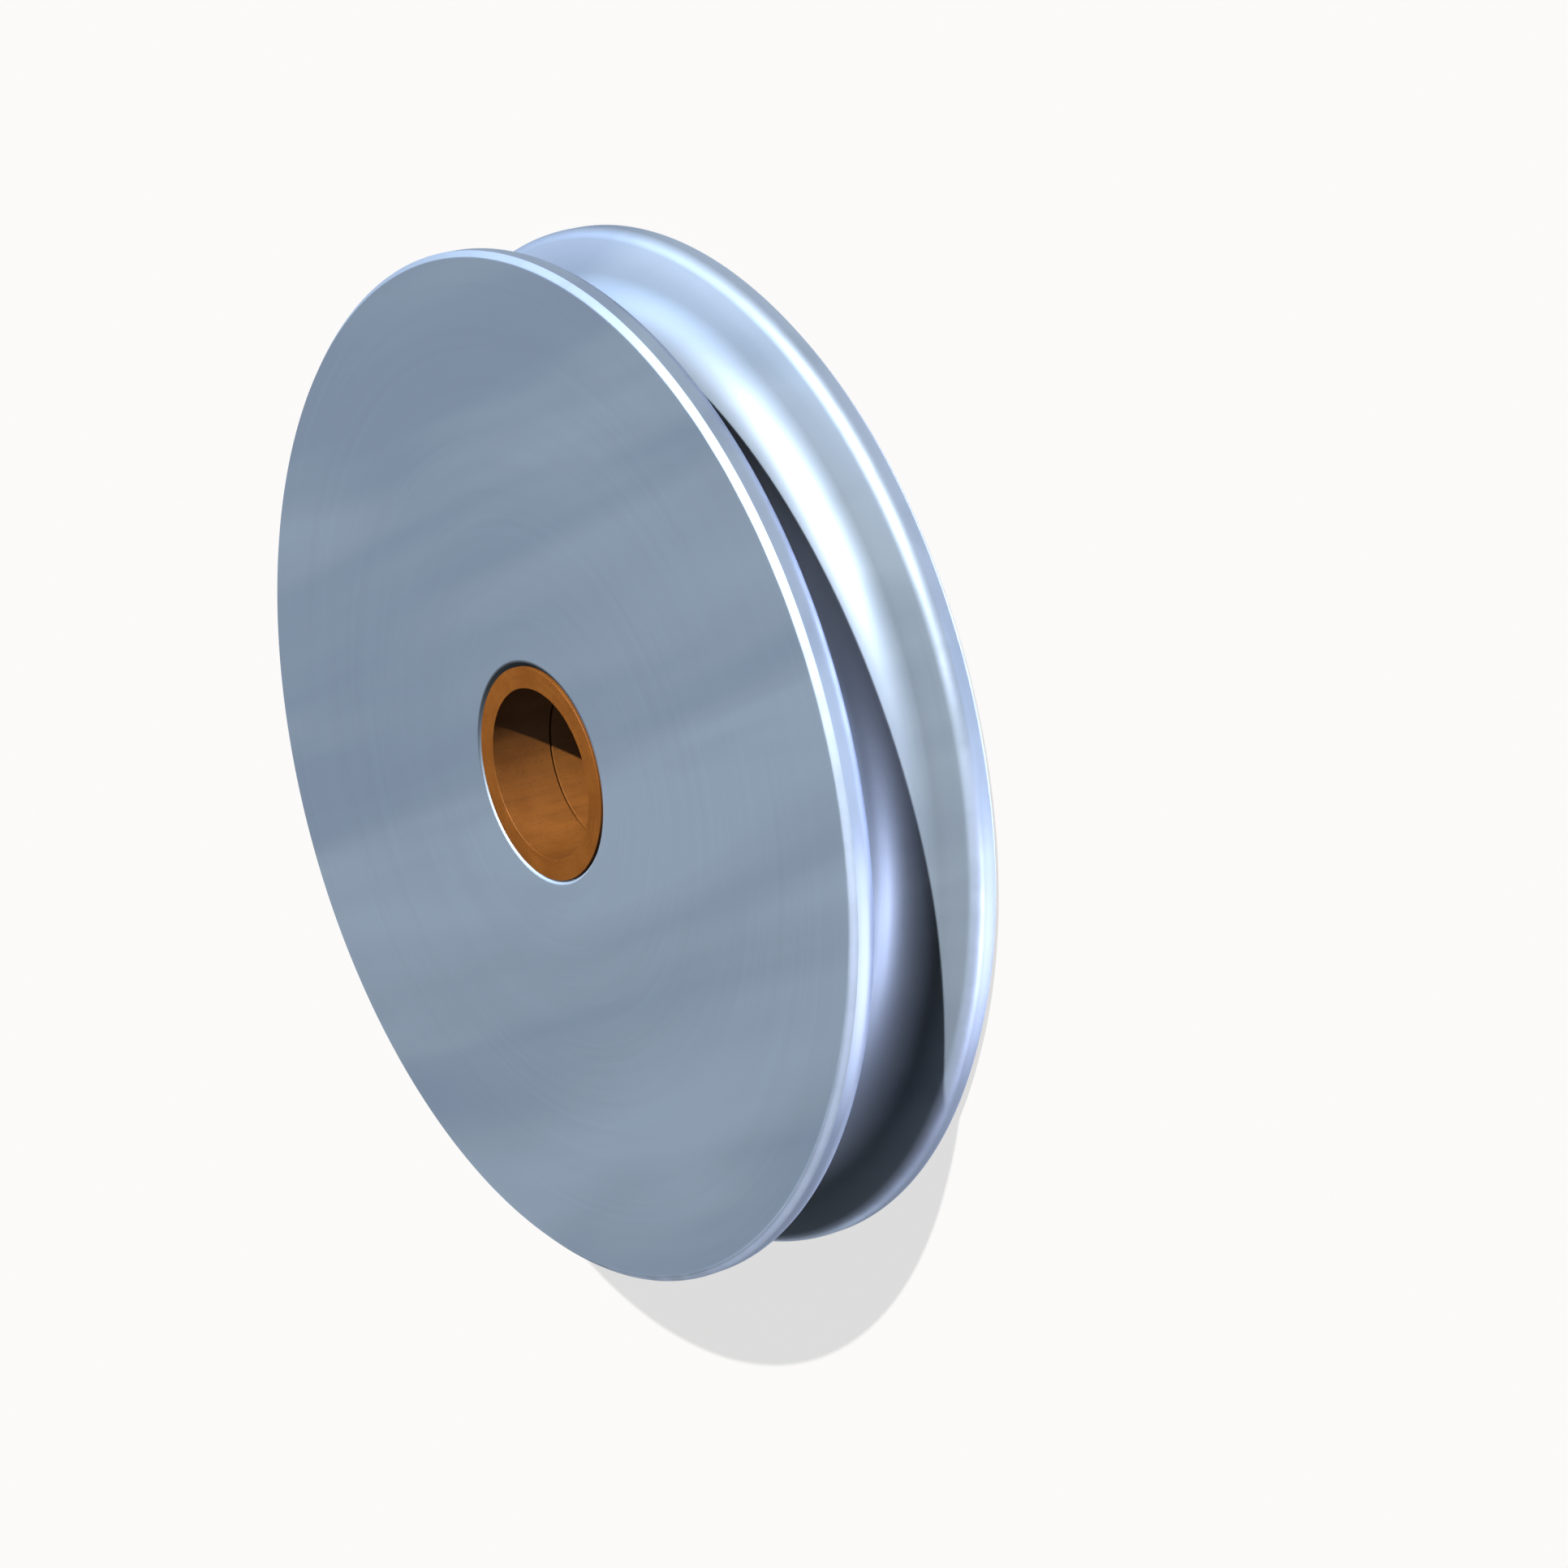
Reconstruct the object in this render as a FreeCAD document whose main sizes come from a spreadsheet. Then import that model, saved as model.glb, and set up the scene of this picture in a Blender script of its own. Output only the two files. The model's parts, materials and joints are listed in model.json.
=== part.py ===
import FreeCAD, Part
import math
import os
import Sketcher

# Cable pulley: a turned steel sheave with two plain bronze bushes pressed into its centre.
# Millimetres. Z is the axis, the pulley lies flat, and z = 0 is the middle of the rope groove.

# Driving sizes: name, value, meaning
SIZES = [
    ("sheave_diameter", 120.0, "outside diameter over the flanges"),
    ("sheave_width", 19.5, "width from face to face, and of the pair of bushes"),
    ("rim_chamfer", 0.7, "chamfer between each face and the rim"),
    ("groove_depth", 8.8, "from the rim down to the bottom of the rope groove"),
    ("root_radius", 5.5, "round bottom of the groove, a little over half the cable"),
    ("wall_angle", 15.0, "slope of each groove wall away from the middle plane, degrees"),
    ("lip_radius", 1.6, "rounding where a groove wall meets the rim"),
    ("bore_diameter", 20.0, "running bore of the bushes"),
    ("bush_wall", 2.5, "wall thickness of the bushes"),
    ("bush_edge_break", 0.1, "edge break at the open end of each bush"),
    ("front_bush_length", 7.8, "length of the front bush"),
    ("bush_joint", 0.25, "hairline gap left between the two bushes"),
    ("seat_chamfer", 0.5, "lead-in chamfer at both ends of the bush seat"),
]

doc = FreeCAD.newDocument("cable_pulley")

sheet = doc.addObject("Spreadsheet::Sheet", "sizes")
for row, (name, value, meaning) in enumerate(SIZES, start=1):
    sheet.set("A%d" % row, name)
    sheet.set("B%d" % row, str(value))
    sheet.set("C%d" % row, meaning)
    sheet.setAlias("B%d" % row, name)
doc.recompute()

# Expressions that more than one feature uses
OUTER_BUSH_DIAMETER = "sizes.bore_diameter + 2 * sizes.bush_wall"
FRONT_BUSH_BASE = "sizes.sheave_width / 2 - sizes.front_bush_length"
REAR_BUSH_BASE = "-sizes.sheave_width / 2"
REAR_BUSH_LENGTH = "sizes.sheave_width - sizes.front_bush_length - sizes.bush_joint"
RIM_RADIUS = "sizes.sheave_diameter / 2"
ROOT_CENTRE = RIM_RADIUS + " - sizes.groove_depth + sizes.root_radius"


def size(name):
    return float(sheet.get(name))


def new_body(label):
    body = doc.addObject("PartDesign::Body", label)
    body.Label = label
    return body


def new_sketch(body, name, plane):
    sketch = body.newObject("Sketcher::SketchObject", name)
    support = [item for item in body.Origin.OriginFeatures if item.Role == plane][0]
    sketch.AttachmentSupport = [(support, "")]
    sketch.MapMode = "FlatFace"
    return sketch


def bind(sketch, constraint, name, expression):
    number = sketch.addConstraint(constraint)
    sketch.renameConstraint(number, name)
    sketch.setExpression("Constraints." + name, expression)


def add_circle(sketch, name, diameter, expression):
    # A circle centred on the axis
    circle = Part.Circle(FreeCAD.Vector(0, 0, 0), FreeCAD.Vector(0, 0, 1), diameter / 2)
    curve = sketch.addGeometry(circle, False)
    sketch.addConstraint(Sketcher.Constraint("Coincident", curve, 3, -1, 1))
    bind(sketch, Sketcher.Constraint("Diameter", curve, diameter), name, expression)


def ring_edges(shape, radius, height):
    # Names of the full circles of that radius round the axis, at that height on either side
    names = []
    for number, edge in enumerate(shape.Edges, start=1):
        if not isinstance(edge.Curve, Part.Circle):
            continue
        if abs(edge.Curve.Radius - radius) > 1e-4:
            continue
        if abs(abs(edge.Curve.Center.z) - height) > 1e-4:
            continue
        names.append("Edge%d" % number)
    return names


def add_chamfer(body, name, base, edges, expression):
    chamfer = body.newObject("PartDesign::Chamfer", name)
    chamfer.Base = (base, edges)
    chamfer.setExpression("Size", expression)
    doc.recompute()
    return chamfer


def volume_falls(before, after, what):
    if not after.Shape.Volume < before.Shape.Volume - 1e-6:
        raise ValueError(what + " removed nothing")


def make_sheave():
    body = new_body("sheave")
    radius = size("sheave_diameter") / 2
    half_width = size("sheave_width") / 2
    seat_diameter = size("bore_diameter") + 2 * size("bush_wall")

    # Plain disc, equal on both sides of the middle plane
    outline = new_sketch(body, "disc_outline", "XY_Plane")
    add_circle(outline, "rim", 2 * radius, "sizes.sheave_diameter")
    disc = body.newObject("PartDesign::Pad", "disc")
    disc.Profile = outline
    disc.SideType = "Symmetric"
    disc.setExpression("Length", "sizes.sheave_width")
    doc.recompute()

    # Straight seat for the bushes, right through
    seat_outline = new_sketch(body, "seat_outline", "XY_Plane")
    add_circle(seat_outline, "seat", seat_diameter, OUTER_BUSH_DIAMETER)
    seat = body.newObject("PartDesign::Pocket", "bush_seat")
    seat.Profile = seat_outline
    seat.SideType = "Symmetric"
    seat.Type = "ThroughAll"
    doc.recompute()
    volume_falls(disc, seat, "the bush seat")

    # Rope groove: a round bottom with straight walls that lean outwards, turned into the rim
    section = new_sketch(body, "groove_section", "XZ_Plane")
    draw_groove(section, radius)
    groove = body.newObject("PartDesign::Groove", "rope_groove")
    groove.Profile = section
    groove.ReferenceAxis = (section, ["V_Axis"])
    groove.Angle = 360
    doc.recompute()
    volume_falls(seat, groove, "the rope groove")

    rim_edges = ring_edges(groove.Shape, radius, half_width)
    rims = add_chamfer(body, "rim_chamfers", groove, rim_edges, "sizes.rim_chamfer")
    seat_edges = ring_edges(rims.Shape, seat_diameter / 2, half_width)
    add_chamfer(body, "seat_chamfers", rims, seat_edges, "sizes.seat_chamfer")
    return body


def draw_groove(sketch, rim):
    # Sketch x is the distance from the axis, sketch y is the height above the middle plane.
    # Round root, straight wall, rounded lip, a step out past the rim, and the same coming back.
    slope = math.radians(size("wall_angle"))
    root = size("root_radius")
    lip = size("lip_radius")
    centre = rim - size("groove_depth") + root
    mouth = rim + lip
    foot_x = centre - root * math.sin(slope)
    foot_y = root * math.cos(slope)
    head_x = rim - lip + lip * math.sin(slope)
    head_y = foot_y + (head_x - foot_x) * math.tan(slope)
    lip_y = head_y + lip * math.cos(slope)

    def line(x1, y1, x2, y2):
        ends = (FreeCAD.Vector(x1, y1, 0), FreeCAD.Vector(x2, y2, 0))
        return sketch.addGeometry(Part.LineSegment(*ends), False)

    def arc(x, y, radius, start, end):
        circle = Part.Circle(FreeCAD.Vector(x, y, 0), FreeCAD.Vector(0, 0, 1), radius)
        return sketch.addGeometry(Part.ArcOfCircle(circle, start, end), False)

    def tie(kind, *where):
        sketch.addConstraint(Sketcher.Constraint(kind, *where))

    quarter = math.pi / 2
    root_arc = arc(centre, 0, root, quarter + slope, 3 * quarter - slope)
    front_wall = line(foot_x, foot_y, head_x, head_y)
    front_lip = arc(rim - lip, lip_y, lip, slope - quarter, 0)
    front_step = line(rim, lip_y, mouth, lip_y)
    mouth_line = line(mouth, lip_y, mouth, -lip_y)
    back_step = line(mouth, -lip_y, rim, -lip_y)
    back_lip = arc(rim - lip, -lip_y, lip, 0, quarter - slope)
    back_wall = line(head_x, -head_y, foot_x, -foot_y)

    tie("Tangent", root_arc, 1, front_wall, 1)
    tie("Tangent", front_wall, 2, front_lip, 1)
    tie("Coincident", front_lip, 2, front_step, 1)
    tie("Coincident", front_step, 2, mouth_line, 1)
    tie("Coincident", mouth_line, 2, back_step, 1)
    tie("Coincident", back_step, 2, back_lip, 1)
    tie("Tangent", back_lip, 2, back_wall, 1)
    tie("Tangent", back_wall, 2, root_arc, 2)
    tie("PointOnObject", root_arc, 3, -1)
    tie("Horizontal", front_lip, 3, front_lip, 2)
    tie("Horizontal", back_lip, 3, back_lip, 1)
    tie("Horizontal", front_step)
    tie("Horizontal", back_step)
    tie("Vertical", front_lip, 2, back_lip, 1)
    tie("Symmetric", mouth_line, 1, mouth_line, 2, -1)
    tie("Equal", front_lip, back_lip)

    def across(item, point, value):
        # Distance of a point from the axis
        return Sketcher.Constraint("DistanceX", -1, 1, item, point, value)

    bind(sketch, Sketcher.Constraint("Radius", root_arc, root), "root", "sizes.root_radius")
    bind(sketch, Sketcher.Constraint("Radius", front_lip, lip), "lip", "sizes.lip_radius")
    bind(sketch, across(root_arc, 3, centre), "root_centre", ROOT_CENTRE)
    bind(sketch, across(front_lip, 2, rim), "rim", RIM_RADIUS)
    bind(sketch, across(mouth_line, 1, mouth), "mouth", RIM_RADIUS + " + sizes.lip_radius")
    slope_constraint = Sketcher.Constraint("Angle", -1, 1, front_wall, 1, slope)
    bind(sketch, slope_constraint, "wall_slope", "sizes.wall_angle * 1 deg")


def make_bush(label, length_expression, base_expression, open_end_up):
    # A plain bush stands on its own base, and its placement seats it along the axis.
    # It is square where it meets the other bush, and its edges are broken at the open end.
    body = new_body(label)
    bore = size("bore_diameter")
    outside = bore + 2 * size("bush_wall")
    ring = new_sketch(body, label + "_ring", "XY_Plane")
    add_circle(ring, "outside", outside, OUTER_BUSH_DIAMETER)
    add_circle(ring, "bore", bore, "sizes.bore_diameter")
    wall = body.newObject("PartDesign::Pad", label + "_wall")
    wall.Profile = ring
    wall.setExpression("Length", length_expression)
    doc.recompute()
    open_end = wall.Length.Value if open_end_up else 0
    edges = ring_edges(wall.Shape, outside / 2, open_end) + ring_edges(wall.Shape, bore / 2, open_end)
    add_chamfer(body, label + "_edge_breaks", wall, edges, "sizes.bush_edge_break")
    body.setExpression("Placement.Base.z", base_expression)
    doc.recompute()
    return body


sub_parts = [
    make_sheave(),
    make_bush("bush_front", "sizes.front_bush_length", FRONT_BUSH_BASE, open_end_up=True),
    make_bush("bush_rear", REAR_BUSH_LENGTH, REAR_BUSH_BASE, open_end_up=False),
]
doc.recompute()

for item in doc.Objects:
    if "Invalid" in item.State or "Error" in item.State:
        raise ValueError("%s failed: %s" % (item.Name, item.State))
for body in sub_parts:
    if body.Shape.isNull() or not body.Shape.isValid() or len(body.Shape.Solids) != 1:
        raise ValueError(body.Label + " is not one valid solid")

os.makedirs("parts", exist_ok=True)
for body in sub_parts:
    body.Shape.exportStep("parts/%s.step" % body.Label)
    box = body.Shape.BoundBox
    print("%-11s volume %9.1f mm3, z %.2f to %.2f" % (body.Label, body.Shape.Volume, box.ZMin, box.ZMax))
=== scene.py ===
import json
import math

import bpy
from mathutils import Matrix, Vector


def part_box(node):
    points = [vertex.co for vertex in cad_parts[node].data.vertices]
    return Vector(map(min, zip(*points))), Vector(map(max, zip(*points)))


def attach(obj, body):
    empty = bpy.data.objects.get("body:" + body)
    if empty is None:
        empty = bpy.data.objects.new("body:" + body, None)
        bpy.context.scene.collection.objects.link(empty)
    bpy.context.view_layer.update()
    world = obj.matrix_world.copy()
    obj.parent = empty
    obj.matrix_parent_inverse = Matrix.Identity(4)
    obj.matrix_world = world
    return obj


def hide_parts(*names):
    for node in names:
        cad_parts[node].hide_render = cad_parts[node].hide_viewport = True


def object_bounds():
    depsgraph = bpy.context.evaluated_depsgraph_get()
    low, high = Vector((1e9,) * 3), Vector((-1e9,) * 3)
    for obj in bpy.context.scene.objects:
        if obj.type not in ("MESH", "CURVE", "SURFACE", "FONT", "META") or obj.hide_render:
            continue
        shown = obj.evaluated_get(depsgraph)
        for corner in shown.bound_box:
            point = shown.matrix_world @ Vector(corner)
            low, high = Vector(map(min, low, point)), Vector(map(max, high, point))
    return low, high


# Cable pulley: a turned steel wheel with one rope groove and two plain bronze bushes.
# The axis is Z, the pulley lies flat on its back face, and lengths are in metres.

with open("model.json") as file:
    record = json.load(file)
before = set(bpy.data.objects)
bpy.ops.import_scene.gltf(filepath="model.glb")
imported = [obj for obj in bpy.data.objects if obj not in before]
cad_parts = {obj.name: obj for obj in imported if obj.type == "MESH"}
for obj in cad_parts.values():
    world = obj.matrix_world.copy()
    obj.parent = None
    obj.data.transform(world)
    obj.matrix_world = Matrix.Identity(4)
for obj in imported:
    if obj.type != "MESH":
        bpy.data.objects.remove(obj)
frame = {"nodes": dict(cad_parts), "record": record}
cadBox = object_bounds()
mm = 0.001
print("frame loaded with", ", ".join(sorted(frame["nodes"])))


def addObject(name, data):
    thing = bpy.data.objects.new(name, data)
    bpy.context.scene.collection.objects.link(thing)
    return thing


# Camera: the photograph's view of the pulley

camera = {
    "place": Vector((460.4, 59.3, 276.6)) * mm,
    "right": Vector((0.55454, -0.18382, -0.81160)),      # the way to the photograph's right and top
    "up": Vector((0.0, 0.97530, -0.22090)),
    "lens": 107.71,                       # millimetres
    "sensor": 36,                         # millimetres wide
}


def makeCamera():
    data = bpy.data.cameras.new("photo_camera")
    data.sensor_width = camera["sensor"]
    data.lens = camera["lens"]
    eye = addObject("photo_camera", data)
    back = camera["right"].cross(camera["up"])
    turn = Matrix((camera["right"], camera["up"], back)).transposed()
    eye.matrix_world = Matrix.Translation(camera["place"]) @ turn.to_4x4()
    bpy.context.scene.camera = eye


makeCamera()
print("camera placed")


# Turned pieces: a section of corners, each with its own rounding, swept round the axis

turning = {
    "sagitta": 0.003 * mm,                # how far a rounded corner may be from a true arc
    "fewestSteps": 3,
}


def roundedSection(corners):
    # From corners as (radius, height, rounding) to points of the outline as (place, outward direction)
    outline = []
    for index, (r, z, rounding) in enumerate(corners):
        here = Vector((r, z))
        before = (Vector(corners[index - 1][:2]) - here).normalized()
        after = (Vector(corners[(index + 1) % len(corners)][:2]) - here).normalized()
        halfOpening = before.angle(after) / 2
        centre = here + (before + after).normalized() * rounding / math.sin(halfOpening)
        first = here + before * rounding / math.tan(halfOpening) - centre
        last = here + after * rounding / math.tan(halfOpening) - centre
        turn = math.atan2(first.x * last.y - first.y * last.x, first.dot(last))
        coarsest = 2 * math.acos(1 - turning["sagitta"] / rounding)
        steps = max(turning["fewestSteps"], math.ceil(abs(turn) / coarsest))
        for step in range(steps + 1):
            spoke = Matrix.Rotation(turn * step / steps, 2) @ first
            outward = spoke.normalized() * (1 if turn > 0 else -1)
            outline.append((centre + spoke, outward))
    return outline


def turnedPiece(name, corners, segments):
    outline = roundedSection(corners)
    count = len(outline)
    points, normals = [], []
    for index in range(segments):
        angle = 2 * math.pi * index / segments
        c, s = math.cos(angle), math.sin(angle)
        for place, outward in outline:
            points.append((place.x * c, place.x * s, place.y))
            normals.append((outward.x * c, outward.x * s, outward.y))
    faces = []
    for index in range(segments):
        here, there = index * count, (index + 1) % segments * count
        for step in range(count):
            following = (step + 1) % count
            faces.append((here + step, there + step, there + following, here + following))
    mesh = bpy.data.meshes.new(name)
    mesh.from_pydata(points, [], faces)
    mesh.update()
    mesh.shade_smooth()
    mesh.normals_split_custom_set_from_vertices(normals)
    return addObject(name, mesh)


def setIn(piece, node):
    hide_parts(node)
    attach(piece, "root")


# Sheave: the steel wheel

sheave = {
    "grooveDepth": 8.8 * mm,
    "rootRadius": 5.5 * mm,
    "wallSlope": math.radians(15),
    "lipRadius": 1.6 * mm,
    "rimChamfer": 0.7 * mm,
    "seatChamfer": 0.5 * mm,
    "edgeRounding": 0.06 * mm,            # deburred edge that catches the light
    "segments": 288,
}
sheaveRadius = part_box("sheave")[1].x
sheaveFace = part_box("sheave")[1].z
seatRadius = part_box("bush_front")[1].x

# The groove: radius of its bottom, radius where its straight walls would meet,
# and half its width at the rim
grooveBottom = sheaveRadius - sheave["grooveDepth"]
grooveValley = grooveBottom + sheave["rootRadius"] - sheave["rootRadius"] / math.sin(sheave["wallSlope"])
grooveMouth = (sheaveRadius - grooveValley) * math.tan(sheave["wallSlope"])


def makeSheave():
    rim, face, seat = sheaveRadius, sheaveFace, seatRadius
    chamfer, lead, edge = sheave["rimChamfer"], sheave["seatChamfer"], sheave["edgeRounding"]
    upperHalf = [
        (seat, face - lead, edge),
        (seat + lead, face, edge),
        (rim - chamfer, face, edge),
        (rim, face - chamfer, edge),
        (rim, grooveMouth, sheave["lipRadius"]),
    ]
    lowerHalf = [(r, -z, rounding) for r, z, rounding in reversed(upperHalf)]
    corners = upperHalf + [(grooveValley, 0, sheave["rootRadius"])] + lowerHalf
    corners.reverse()                     # anticlockwise, so that outside faces out
    piece = turnedPiece("sheave_wheel", corners, sheave["segments"])
    setIn(piece, "sheave")
    return piece


# Bushes: plain bronze rings

bush = {
    "openEdge": 0.06 * mm,                # broken edge at the open end
    "squareEdge": 0.03 * mm,              # nearly sharp where the two bushes meet
    "segments": 192,
}
boreMount = [mount for mount in frame["record"]["mounts"] if mount["name"] == "bore"][0]
boreRadius = boreMount["dims"]["r_mm"] * mm


def makeBush(name, node, openEndUp):
    low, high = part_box(node)
    top = bush["openEdge"] if openEndUp else bush["squareEdge"]
    bottom = bush["squareEdge"] if openEndUp else bush["openEdge"]
    corners = [
        (boreRadius, low.z, bottom),
        (high.x, low.z, bottom),
        (high.x, high.z, top),
        (boreRadius, high.z, top),
    ]
    piece = turnedPiece(name, corners, bush["segments"])
    setIn(piece, node)
    return piece


wheel = makeSheave()
frontBush = makeBush("bronze_bush_front", "bush_front", True)
rearBush = makeBush("bronze_bush_rear", "bush_rear", False)
print("pieces made:", wheel.name, frontBush.name, rearBush.name)


# Node helpers

def newMaterial(name):
    material = bpy.data.materials.new(name)
    material.use_nodes = True
    return material, material.node_tree, material.node_tree.nodes["Principled BSDF"]


def feed(tree, socket, value):
    # A number or colour is set on the socket, and anything else is a link to it
    if isinstance(value, bpy.types.NodeSocket):
        tree.links.new(value, socket)
    elif isinstance(value, tuple) and len(value) == 3 and socket.type == "RGBA":
        socket.default_value = (*value, 1)
    else:
        socket.default_value = value


def maths(tree, operation, *values):
    node = tree.nodes.new("ShaderNodeMath")
    node.operation = operation
    for socket, value in zip(node.inputs, values):
        feed(tree, socket, value)
    return node.outputs[0]


def distance(tree, across, up):
    squares = maths(tree, "MULTIPLY", across, across), maths(tree, "MULTIPLY", up, up)
    return maths(tree, "SQRT", maths(tree, "ADD", *squares))


def weighted(tree, start, *terms):
    # The start plus each mask times its share
    total = start
    for mask, share in terms:
        total = maths(tree, "MULTIPLY_ADD", mask, share, total)
    return total


def spread(tree, value, low, high, start=0.0, end=1.0):
    # Smooth step of a value from low..high to start..end
    node = tree.nodes.new("ShaderNodeMapRange")
    node.interpolation_type = "SMOOTHSTEP"
    for socket, number in zip(node.inputs, (value, low, high, start, end)):
        feed(tree, socket, number)
    return node.outputs["Result"]


def mixColour(tree, factor, first, second, blend="MIX"):
    node = tree.nodes.new("ShaderNodeMix")
    node.data_type = "RGBA"
    node.blend_type = blend
    # The colour sockets share their names with others, so they are picked by number
    for index, value in ((0, factor), (6, first), (7, second)):
        feed(tree, node.inputs[index], value)
    return node.outputs[2]


def ramp(tree, source, levels, colours):
    node = tree.nodes.new("ShaderNodeValToRGB")
    elements = node.color_ramp.elements
    while len(elements) < len(levels):
        elements.new(0.5)                 # moved to its level below
    for element, level, colour in zip(elements, levels, colours):
        element.position = level
        element.color = (*colour, 1)
    feed(tree, node.inputs["Fac"], source)
    return node.outputs["Color"]


def shadeBy(tree, colour, marks, strength, levels, greys):
    # Marks darken and lighten the colour, and a grey of 0.5 leaves it as it is
    grey = ramp(tree, marks, levels, [(shade,) * 3 for shade in greys])
    return mixColour(tree, strength, colour, grey, "OVERLAY")


def ringCoordinates(tree):
    # Place on the object as distance from the axis, height, and a seamless way round
    coordinates = tree.nodes.new("ShaderNodeTexCoord")
    split = tree.nodes.new("ShaderNodeSeparateXYZ")
    feed(tree, split.inputs[0], coordinates.outputs["Object"])
    x, y, z = split.outputs
    radius = distance(tree, x, y)
    return {
        "point": coordinates.outputs["Object"],
        "radius": radius,
        "height": z,
        "level": maths(tree, "ABSOLUTE", z),                          # the same on the front and the back
        "cosine": maths(tree, "DIVIDE", x, radius),
        "sine": maths(tree, "DIVIDE", y, radius),
    }


def ringNoise(tree, ring, pitch, turns, detail=3):
    # Noise drawn out into rings: pitch from mark to mark, and marks per radian round
    join = tree.nodes.new("ShaderNodeCombineXYZ")
    noise = tree.nodes.new("ShaderNodeTexNoise")
    noise.noise_dimensions = "4D"
    feed(tree, join.inputs[0], maths(tree, "MULTIPLY", ring["radius"], 1 / pitch))
    feed(tree, join.inputs[1], maths(tree, "MULTIPLY", ring["height"], 1 / pitch))
    feed(tree, join.inputs[2], maths(tree, "MULTIPLY", ring["cosine"], turns))
    feed(tree, noise.inputs["Vector"], join.outputs[0])
    feed(tree, noise.inputs["W"], maths(tree, "MULTIPLY", ring["sine"], turns))
    feed(tree, noise.inputs["Scale"], 1.0)
    feed(tree, noise.inputs["Detail"], detail)
    return noise.outputs["Fac"]


def pointNoise(tree, ring, size, detail=3, drawnOut=(1, 1, 1), turned=0.0, warp=0.0, offset=0.0):
    # Noise in space, drawn out by factors along axes that are turned about Z by some degrees
    mapping = tree.nodes.new("ShaderNodeMapping")
    mapping.vector_type = "TEXTURE"
    noise = tree.nodes.new("ShaderNodeTexNoise")
    feed(tree, mapping.inputs["Vector"], ring["point"])
    mapping.inputs["Location"].default_value = (offset, offset, offset)
    mapping.inputs["Rotation"].default_value = (0, 0, math.radians(turned))
    mapping.inputs["Scale"].default_value = drawnOut
    feed(tree, noise.inputs["Vector"], mapping.outputs[0])
    feed(tree, noise.inputs["Scale"], 1 / size)
    feed(tree, noise.inputs["Detail"], detail)
    feed(tree, noise.inputs["Distortion"], warp)
    return noise.outputs["Fac"]


def nearRing(tree, ring, radius, level, reach):
    # 1 on the circles of that radius at plus and minus that height, falling to 0 at the reach
    across = maths(tree, "SUBTRACT", ring["radius"], radius)
    up = maths(tree, "SUBTRACT", ring["level"], level)
    return spread(tree, distance(tree, across, up), 0.0, reach, 1.0, 0.0)


def towards(tree, ring, degrees):
    # Cosine of the way round from that side
    side = math.radians(degrees)
    across = maths(tree, "MULTIPLY", ring["cosine"], math.cos(side))
    return maths(tree, "MULTIPLY_ADD", ring["sine"], math.sin(side), across)


def addBump(tree, shader, *layers):
    # Each layer is a height and its depth
    normal = None
    for height, depth in layers:
        node = tree.nodes.new("ShaderNodeBump")
        node.inputs["Strength"].default_value = 1
        node.inputs["Distance"].default_value = depth
        feed(tree, node.inputs["Height"], height)
        if normal is not None:
            feed(tree, node.inputs["Normal"], normal)
        normal = node.outputs["Normal"]
    feed(tree, shader.inputs["Normal"], normal)


# Steel: satin turned finish with pale and dark clouds, burnished where the cable runs, with painted shade
# on the faces and round the bush, and painted highlights on the edges and the land.
# Levels are values of a noise or a mask, and a fade is where a mask begins and where it is full or gone.

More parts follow.
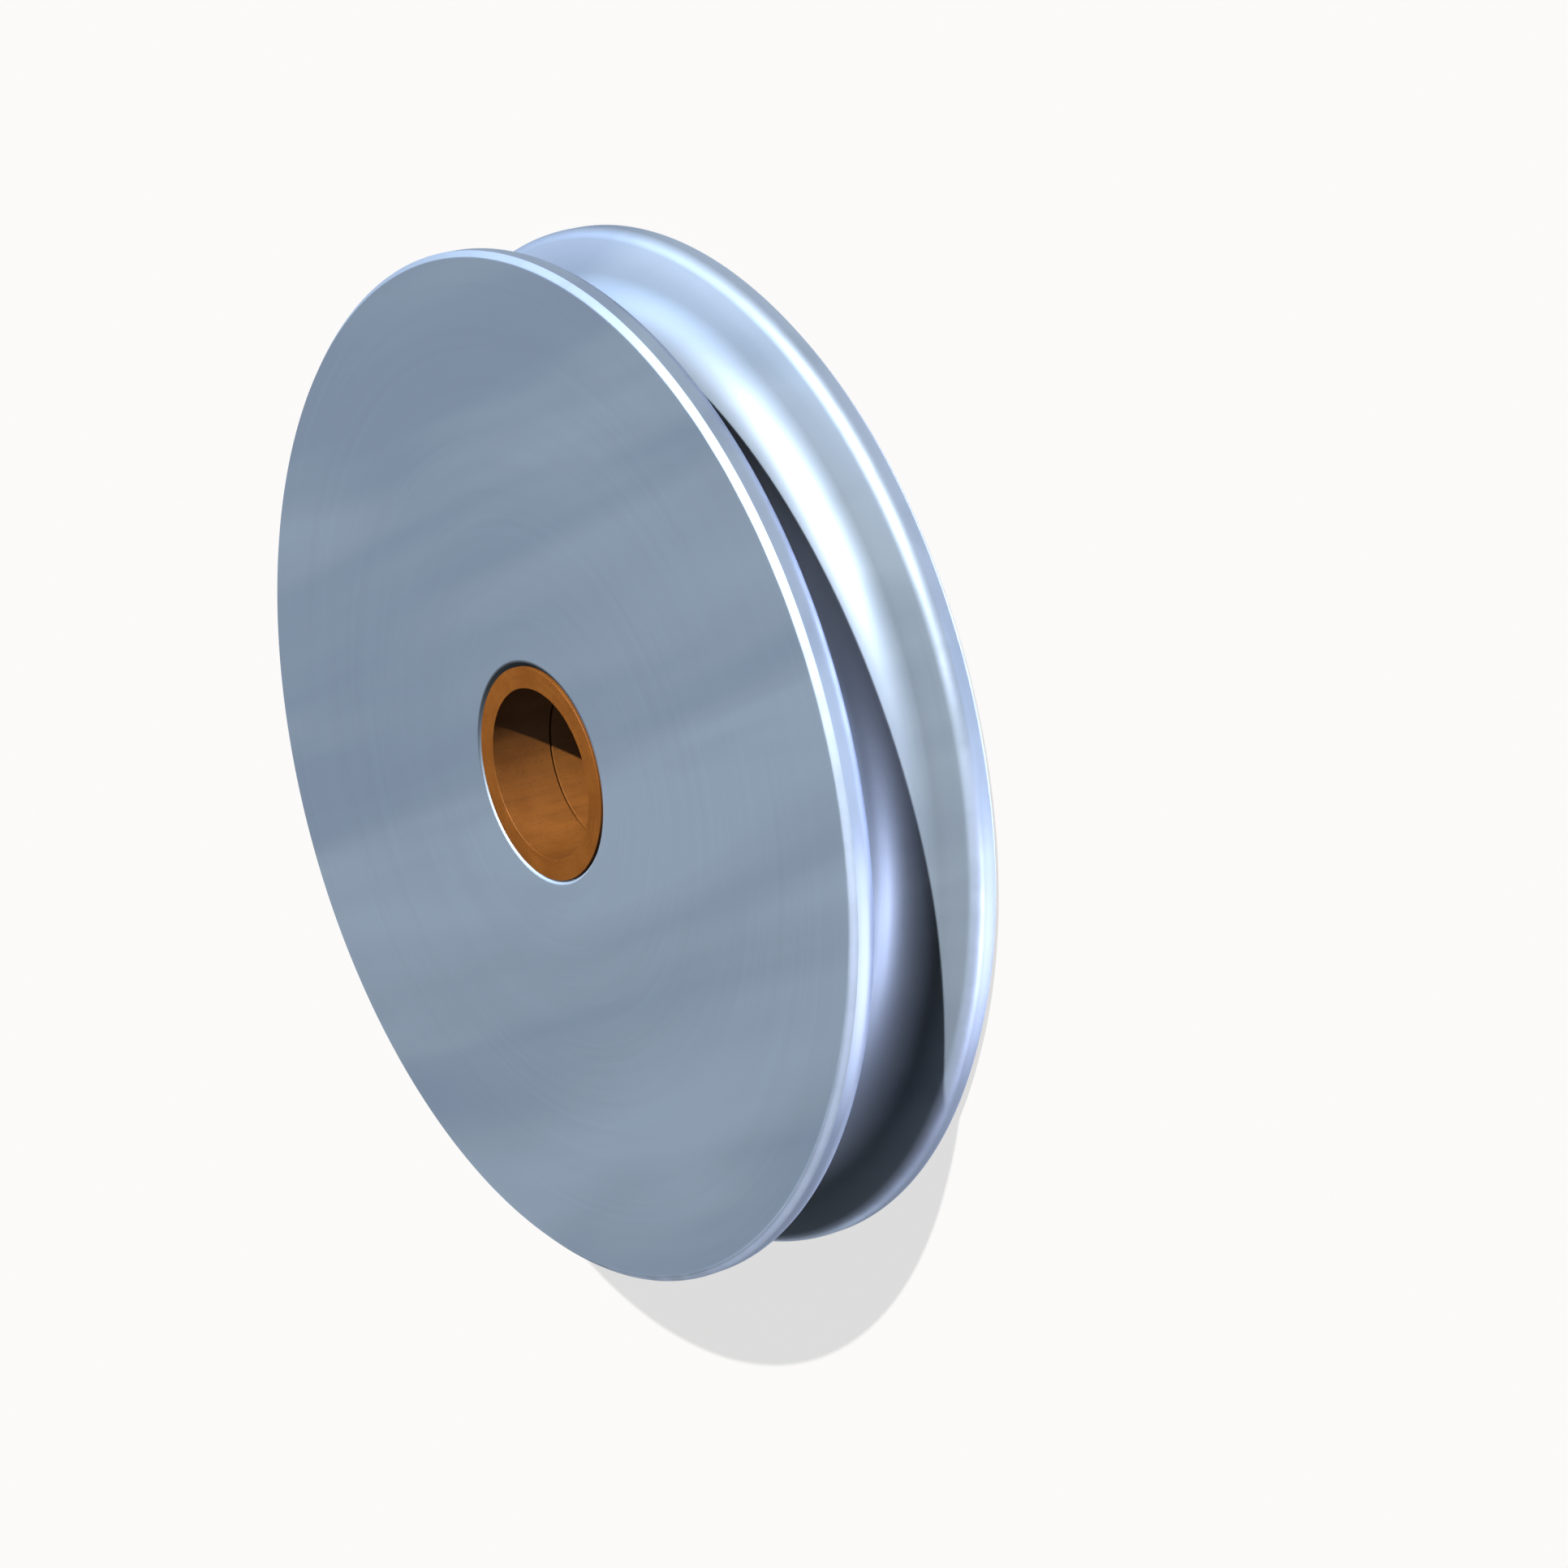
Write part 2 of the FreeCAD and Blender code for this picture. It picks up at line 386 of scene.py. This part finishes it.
steel = {
    "metallic": 0.66,
    "roughness": 0.535,

    "deep": (0.306, 0.392, 0.512),
    "middle": (0.350, 0.445, 0.555),
    "pale": (0.396, 0.498, 0.618),
    "cloudLevels": (0.36, 0.5, 0.64),
    "cloudSize": 14.5 * mm,               # across the clouds
    "cloudLength": 8.0,                   # times longer than wide
    "cloudTurn": 9.7,                     # degrees, the way they run
    "cloudPlace": -0.2008,                # moves them to where the photograph has them
    "cloudDetail": 2.5,
    "cloudWarp": 0.4,                     # makes them uneven
    "cloudRoughness": 0.04,

    "faceShade": (0.560, 0.577, 0.574),    # painted shade: the flat faces are darker than the groove
    "faceShadeFade": (0.1 * mm, 0.02 * mm),    # below the faces

    "bandPitch": 2.4 * mm,                # faint turned bands
    "bandTurns": 0.5,                     # breaks in a band, per radian round
    "bandStrength": 0.05,
    "bandLevels": (0.35, 0.65),
    "bandGreys": (0.42, 0.58),

    "markPitch": 0.45 * mm,               # from one turning mark to the next
    "markTurns": 1.5,                     # breaks in a mark, per radian round
    "markDepth": 0.0018 * mm,
    "markRoughness": 0.09,

    "wearAndHighlight": (0.62, 0.77, 1.0),            # bright metal of worn edges, and of the painted highlights
    "wearAndHighlightRoughness": -0.10,
    "chamferReach": 0.8 * mm,
    "lipInset": 0.3 * sheave["lipRadius"],                       # of the wear, from the lip's corner
    "lipReach": 1.3 * mm,
    "edgeHighlight": 0.78,                       # painted highlight at the side where the edges are brightest
    "edgeHighlightSide": -40,                    # degrees round the axis
    "edgeHighlightFade": (0.76, 0.97),           # cosine of the way round from that side
    "patchSize": 4.5 * mm,                # patchy wear of all edges
    "patchLevels": (0.35, 0.65),
    "patchWear": (0.05, 0.35),            # least and most
    "patchFade": (-0.9, 0.5),             # cosine of the way round from the highlighted side

    "landDepth": 1.5 * mm,                # middle of the outer land, below the face
    "landReach": 1.6 * mm,
    "landHighlight": 0.5,                      # painted highlight on the land
    "landHighlightSide": -23,                  # degrees round the axis
    "landHighlightFade": (0.94, 0.99),         # cosine of the way round from that side

    "burnish": 0.26,                      # wear at the bottom of the groove, where the cable runs
    "burnishFade": (0.4 * mm, 2.4 * mm),  # above the bottom
    "flangeFade": (2 * mm, 1 * mm),       # below the faces, which aren't burnished
    "burnishRoughness": -0.03,

    "seatShade": (0.16, 0.16, 0.15),            # painted shade on the chamfer round the bush
    "seatShadeReach": 0.85 * mm,
    "seatShadeLevels": (0.05, 0.5),
    "seatShadeFade": (-0.3, 0.9),               # sine of the way round, painted shade thickest towards +Y
}


def below(surface, depths):
    return [surface - depth for depth in depths]


def steelColour(tree, ring, cloud):
    colour = ramp(tree, cloud, steel["cloudLevels"], (steel["deep"], steel["middle"], steel["pale"]))
    # Painted shade: the flat faces are darkened against the groove
    shadedFace = spread(tree, ring["level"], *below(sheaveFace, steel["faceShadeFade"]))
    colour = mixColour(tree, shadedFace, colour, steel["faceShade"], "MULTIPLY")
    bands = ringNoise(tree, ring, steel["bandPitch"], steel["bandTurns"], detail=2)
    return shadeBy(tree, colour, bands, steel["bandStrength"], steel["bandLevels"], steel["bandGreys"])


def edgeWearAndHighlights(tree, ring):
    # Chamfers and lips with patchy wear and a painted highlight at one side, and a painted highlight on a
    # stretch of the land
    half, inset = sheave["rimChamfer"] / 2, steel["lipInset"]
    chamfer = nearRing(tree, ring, sheaveRadius - half, sheaveFace - half, steel["chamferReach"])
    lip = nearRing(tree, ring, sheaveRadius - inset, grooveMouth + inset, steel["lipReach"])
    facing = towards(tree, ring, steel["edgeHighlightSide"])
    # Painted highlight: the edges are brightest at one side
    edgeHighlight = spread(tree, facing, *steel["edgeHighlightFade"], 0.0, steel["edgeHighlight"])
    patches = pointNoise(tree, ring, steel["patchSize"])
    patches = spread(tree, patches, *steel["patchLevels"], *steel["patchWear"])
    handled = maths(tree, "MULTIPLY", patches, spread(tree, facing, *steel["patchFade"]))
    wear = maths(tree, "ADD", edgeHighlight, handled)
    edges = maths(tree, "MULTIPLY", maths(tree, "MAXIMUM", chamfer, lip), wear)
    # Painted highlight on a stretch of the outer land
    land = nearRing(tree, ring, sheaveRadius, sheaveFace - steel["landDepth"], steel["landReach"])
    facing = towards(tree, ring, steel["landHighlightSide"])
    landHighlight = spread(tree, facing, *steel["landHighlightFade"], 0.0, steel["landHighlight"])
    return maths(tree, "MAXIMUM", edges, maths(tree, "MULTIPLY", land, landHighlight))


def burnishedBottom(tree, ring):
    low, high = steel["burnishFade"]
    bottom = spread(tree, ring["radius"], grooveBottom + low, grooveBottom + high, 1.0, 0.0)
    between = spread(tree, ring["level"], *below(sheaveFace, steel["flangeFade"]), 1.0, 0.0)
    return maths(tree, "MULTIPLY", bottom, between)


def paintedSeatShade(tree, ring):
    # Painted shade on the chamfer round the bush, thickest towards +Y
    half = sheave["seatChamfer"] / 2
    near = nearRing(tree, ring, seatRadius + half, sheaveFace - half, steel["seatShadeReach"])
    near = spread(tree, near, *steel["seatShadeLevels"])
    return maths(tree, "MULTIPLY", near, spread(tree, ring["sine"], *steel["seatShadeFade"]))


def makeSteel():
    material, tree, shader = newMaterial("turned steel")
    ring = ringCoordinates(tree)
    drawnOut = (steel["cloudLength"], 1, 1)
    cloud = pointNoise(
        tree, ring, steel["cloudSize"], steel["cloudDetail"], drawnOut,
        steel["cloudTurn"], steel["cloudWarp"], steel["cloudPlace"],
    )
    marks = ringNoise(tree, ring, steel["markPitch"], steel["markTurns"])
    burnished = burnishedBottom(tree, ring)
    burnish = maths(tree, "MULTIPLY", burnished, steel["burnish"])
    wearAndHighlight = maths(tree, "MAXIMUM", edgeWearAndHighlights(tree, ring), burnish)

    # Worn edges, the burnished bottom and the painted highlights share one bright colour
    colour = mixColour(tree, wearAndHighlight, steelColour(tree, ring, cloud), steel["wearAndHighlight"])
    # Painted shade on the seat chamfer
    colour = mixColour(tree, paintedSeatShade(tree, ring), colour, steel["seatShade"], "MULTIPLY")
    rough = weighted(
        tree, steel["roughness"],
        (marks, steel["markRoughness"]),
        (cloud, steel["cloudRoughness"]),
        (wearAndHighlight, steel["wearAndHighlightRoughness"]),
        (burnished, steel["burnishRoughness"]),
    )
    feed(tree, shader.inputs["Base Color"], colour)
    feed(tree, shader.inputs["Metallic"], steel["metallic"])
    feed(tree, shader.inputs["Roughness"], rough)
    addBump(tree, shader, (marks, steel["markDepth"]))
    return material


# Bronze: oil-soaked bearing bronze, fine grain, rubbed lengthwise in the bore and turned round on the ends

bronze = {
    "metallic": 0.5,
    "roughness": 0.56,
    "oilFilm": 0.4,
    "oilFilmRoughness": 0.5,

    "deep": (0.290, 0.096, 0.0105),       # clouds of old oil
    "pale": (0.345, 0.122, 0.0160),
    "cloudSize": 4.0 * mm,
    "cloudLevels": (0.35, 0.65),
    "cloudRoughness": 0.08,

    "grainSize": 0.22 * mm,
    "grainDepth": 0.004 * mm,
    "pore": (0.160, 0.055, 0.010),
    "poreLevels": (0.30, 0.42),
    "poreStrength": 0.55,

    "streakPitch": 20.0 * mm,             # streaks along the bore
    "streakTurns": 14.0,                  # streaks per radian round
    "boreFade": (0.1 * mm, 0.2 * mm),     # into the wall
    "ringPitch": 0.5 * mm,                # turning marks on the ends
    "ringTurns": 1.5,
    "markStrength": 0.5,
    "markLevels": (0.3, 0.7),
    "markGreys": (0.40, 0.60),
    "markDepth": 0.0025 * mm,
}


def makeBronze():
    material, tree, shader = newMaterial("bearing bronze")
    ring = ringCoordinates(tree)
    cloud = pointNoise(tree, ring, bronze["cloudSize"])
    grain = pointNoise(tree, ring, bronze["grainSize"], detail=2)
    low, high = bronze["boreFade"]
    inBore = spread(tree, ring["radius"], boreRadius + low, boreRadius + high, 1.0, 0.0)
    streaks = ringNoise(tree, ring, bronze["streakPitch"], bronze["streakTurns"])
    rings = ringNoise(tree, ring, bronze["ringPitch"], bronze["ringTurns"])
    marks = mixColour(tree, inBore, rings, streaks)

    colour = ramp(tree, cloud, bronze["cloudLevels"], (bronze["deep"], bronze["pale"]))
    pores = spread(tree, grain, *bronze["poreLevels"], bronze["poreStrength"], 0.0)
    colour = mixColour(tree, pores, colour, bronze["pore"])
    colour = shadeBy(tree, colour, marks, bronze["markStrength"], bronze["markLevels"], bronze["markGreys"])
    rough = weighted(tree, bronze["roughness"], (cloud, bronze["cloudRoughness"]))
    feed(tree, shader.inputs["Base Color"], colour)
    feed(tree, shader.inputs["Metallic"], bronze["metallic"])
    feed(tree, shader.inputs["Roughness"], rough)
    feed(tree, shader.inputs["Coat Weight"], bronze["oilFilm"])
    feed(tree, shader.inputs["Coat Roughness"], bronze["oilFilmRoughness"])
    addBump(tree, shader, (marks, bronze["markDepth"]), (grain, bronze["grainDepth"]))
    return material


wheel.data.materials.append(makeSteel())
bronzeFinish = makeBronze()
for piece in (frontBush, rearBush):
    piece.data.materials.append(bronzeFinish)
print("materials made")


# Floor and light

studio = {
    "floorSize": 60.0,                    # metres
    "floorLift": 0.02 * mm,               # keeps the floor out of the plane of the back face
    "floorPaint": 0.185,                  # what the lamps add to the floor
    "floorGlow": 0.712,                   # what the floor shows in the shadow
    "room": (0.048, 0.042, 0.036),        # light from all round
    "sky": (0.958, 0.955, 0.950),         # what the camera sees above the floor
}

# Lamps: azimuth, elevation and width in degrees, strength, colour
lamps = {
    "key": (54.5, 42, 1, 6.3, (1.0, 0.965, 0.935)),      # as the shadow in the photographed groove gives it
    "high": (138, 72, 28, 1.50, (1.0, 0.94, 0.98)),
    "left": (125, 33, 28, 1.30, (0.52, 0.69, 1.0)),
    "rightHigh": (-72, 77, 28, 0.24, (0.88, 0.93, 1.0)),
    "lowRight": (-46, -13, 10, 1.95, (0.87, 0.84, 1.0)),
    "farRight": (-56, -35, 10, 0.50, (0.96, 0.88, 0.88)),
    "front": (-8, -44, 10, 0.75, (0.70, 0.78, 1.0)),
    "below": (23, -80, 10, 1.6, (0.62, 0.66, 1.0)),
    "back": (-135, -14, 28, 0.3, (0.90, 0.95, 1.0)),
    "under": (0, -90, 1, 2.0, (1.0, 0.97, 0.94)),        # straight up, for the back face and the bush's end
}
hardLamps = ("key", "under")              # not kept off the bushes

boreFill = {
    "height": 2.0 * mm,                   # on the axis, above the middle
    "radius": 6.0 * mm,
    "power": 0.0004,                      # watts
    "colour": (0.45, 0.65, 1.0),
}


def direction(azimuth, elevation):
    a, e = math.radians(azimuth), math.radians(elevation)
    return Vector((math.cos(e) * math.cos(a), math.cos(e) * math.sin(a), math.sin(e)))


def makeFloor():
    half = studio["floorSize"] / 2
    height = cadBox[0][2] + studio["floorLift"]
    mesh = bpy.data.meshes.new("floor")
    corners = [(-half, -half, height), (half, -half, height), (half, half, height), (-half, half, height)]
    mesh.from_pydata(corners, [], [(0, 1, 2, 3)])
    floor = addObject("floor", mesh)
    material, tree, shader = newMaterial("pale floor")
    feed(tree, shader.inputs["Base Color"], (studio["floorPaint"],) * 3)
    feed(tree, shader.inputs["Roughness"], 1)
    feed(tree, shader.inputs["Specular IOR Level"], 0)
    feed(tree, shader.inputs["Emission Color"], (1, 1, 1))
    feed(tree, shader.inputs["Emission Strength"], studio["floorGlow"])
    mesh.materials.append(material)
    floor.visible_glossy = False          # the steel doesn't mirror the floor, and its groove stays dark
    floor.visible_diffuse = False
    floor.visible_shadow = False


def addLamp(name, kind, strength, colour):
    data = bpy.data.lights.new(name, kind)
    data.energy = strength
    data.color = colour
    data.cycles.max_bounces = 0           # straight light only, for shadows that are nearly black
    lamp = addObject(name, data)
    lamp.visible_camera = False
    return lamp


def makeLamps():
    # The softboxes light the wheel alone, so that the bore stays dark inside
    softlyLit = bpy.data.collections.new("softly_lit")
    softlyLit.objects.link(wheel)
    for name, (azimuth, elevation, width, strength, colour) in lamps.items():
        lamp = addLamp(name, "SUN", strength, colour)
        lamp.data.angle = math.radians(width)
        lamp.rotation_euler = direction(azimuth, elevation).to_track_quat("Z", "Y").to_euler()
        if name not in hardLamps:
            lamp.light_linking.receiver_collection = softlyLit


def makeBoreFill():
    # A faint lamp inside the bore, for its shaded side
    lamp = addLamp("bore_fill", "POINT", boreFill["power"], boreFill["colour"])
    lamp.data.shadow_soft_size = boreFill["radius"]
    lamp.location = (0, 0, boreFill["height"])


def makeWorld():
    world = bpy.data.worlds.new("studio")
    world.use_nodes = True
    bpy.context.scene.world = world
    tree = world.node_tree
    path = tree.nodes.new("ShaderNodeLightPath")
    colour = mixColour(tree, path.outputs["Is Camera Ray"], studio["room"], studio["sky"])
    feed(tree, tree.nodes["Background"].inputs["Color"], colour)


makeFloor()
makeLamps()
makeBoreFill()
makeWorld()
bpy.context.scene.view_settings.view_transform = "Standard"
print("studio made")
